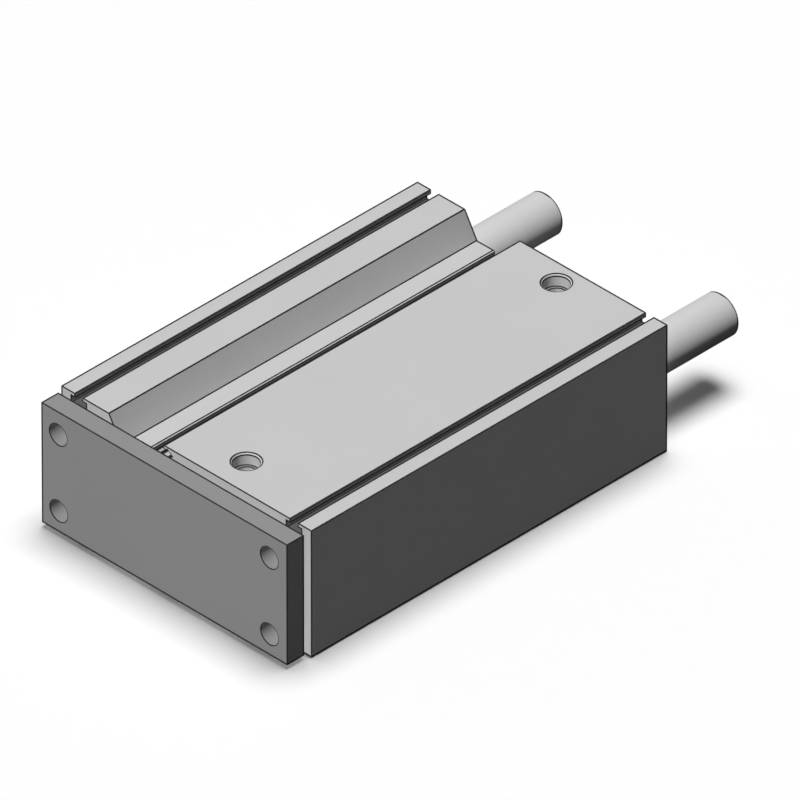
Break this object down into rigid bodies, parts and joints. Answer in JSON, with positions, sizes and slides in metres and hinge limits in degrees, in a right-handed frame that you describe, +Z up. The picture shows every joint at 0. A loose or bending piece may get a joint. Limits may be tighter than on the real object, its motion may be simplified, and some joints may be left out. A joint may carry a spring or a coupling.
{
  "type": "guided pneumatic cylinder",
  "caption": "Compact guided air cylinder: a flat extruded body with sensor grooves, air ports and a cable notch, and twin guide rods that carry a drilled front plate.",
  "frame": {"origin": "centre of the body's flat base", "axes": "+X to the right across the body, +Y from the front plate to the rear along the stroke, +Z up out of the top with the ports"},
  "size_m": [0.114, 0.214, 0.05],
  "materials": {
    "body_aluminium": "matt clear anodised extrusion",
    "plate_steel": "satin nickel-plated steel",
    "rod_steel": "ground and hard-plated",
    "cover_aluminium": "turned, clear anodised",
    "seal_rubber": "black nitrile rubber",
    "bumper_rubber": "polyurethane bumper",
    "bearing_bronze": "oiled bronze",
    "spring_steel": "phosphated spring steel",
    "magnet_plastic": "plastic-bonded magnet",
    "wiper_felt": "oiled wool felt"
  },
  "bodies": {
    "housing": {"cylinder_body": "body_aluminium", "rod_cover": "cover_aluminium", "rod_seal": "seal_rubber", "rod_bearing": "bearing_bronze", "rod_cover_retaining_ring": "spring_steel", "front_bumper": "bumper_rubber", "head_cover": "cover_aluminium", "head_cover_retaining_ring": "spring_steel", "rear_bumper": "bumper_rubber", "guide_wipers": "wiper_felt", "slide_bushes_left": "bearing_bronze", "slide_bushes_right": "bearing_bronze"},
    "slide_unit": {"front_plate": "plate_steel", "guide_rod_left": "rod_steel", "guide_rod_right": "rod_steel", "piston_rod": "rod_steel", "piston": "cover_aluminium", "piston_seal": "seal_rubber", "piston_magnet": "magnet_plastic", "piston_clamp_disc": "cover_aluminium"}
  },
  "joints": [
    {"name": "stroke_slide", "type": "slide", "parent": "housing", "child": "slide_unit", "axis": [0, -1, 0], "range_m": [0, 0.125]}
  ]
}
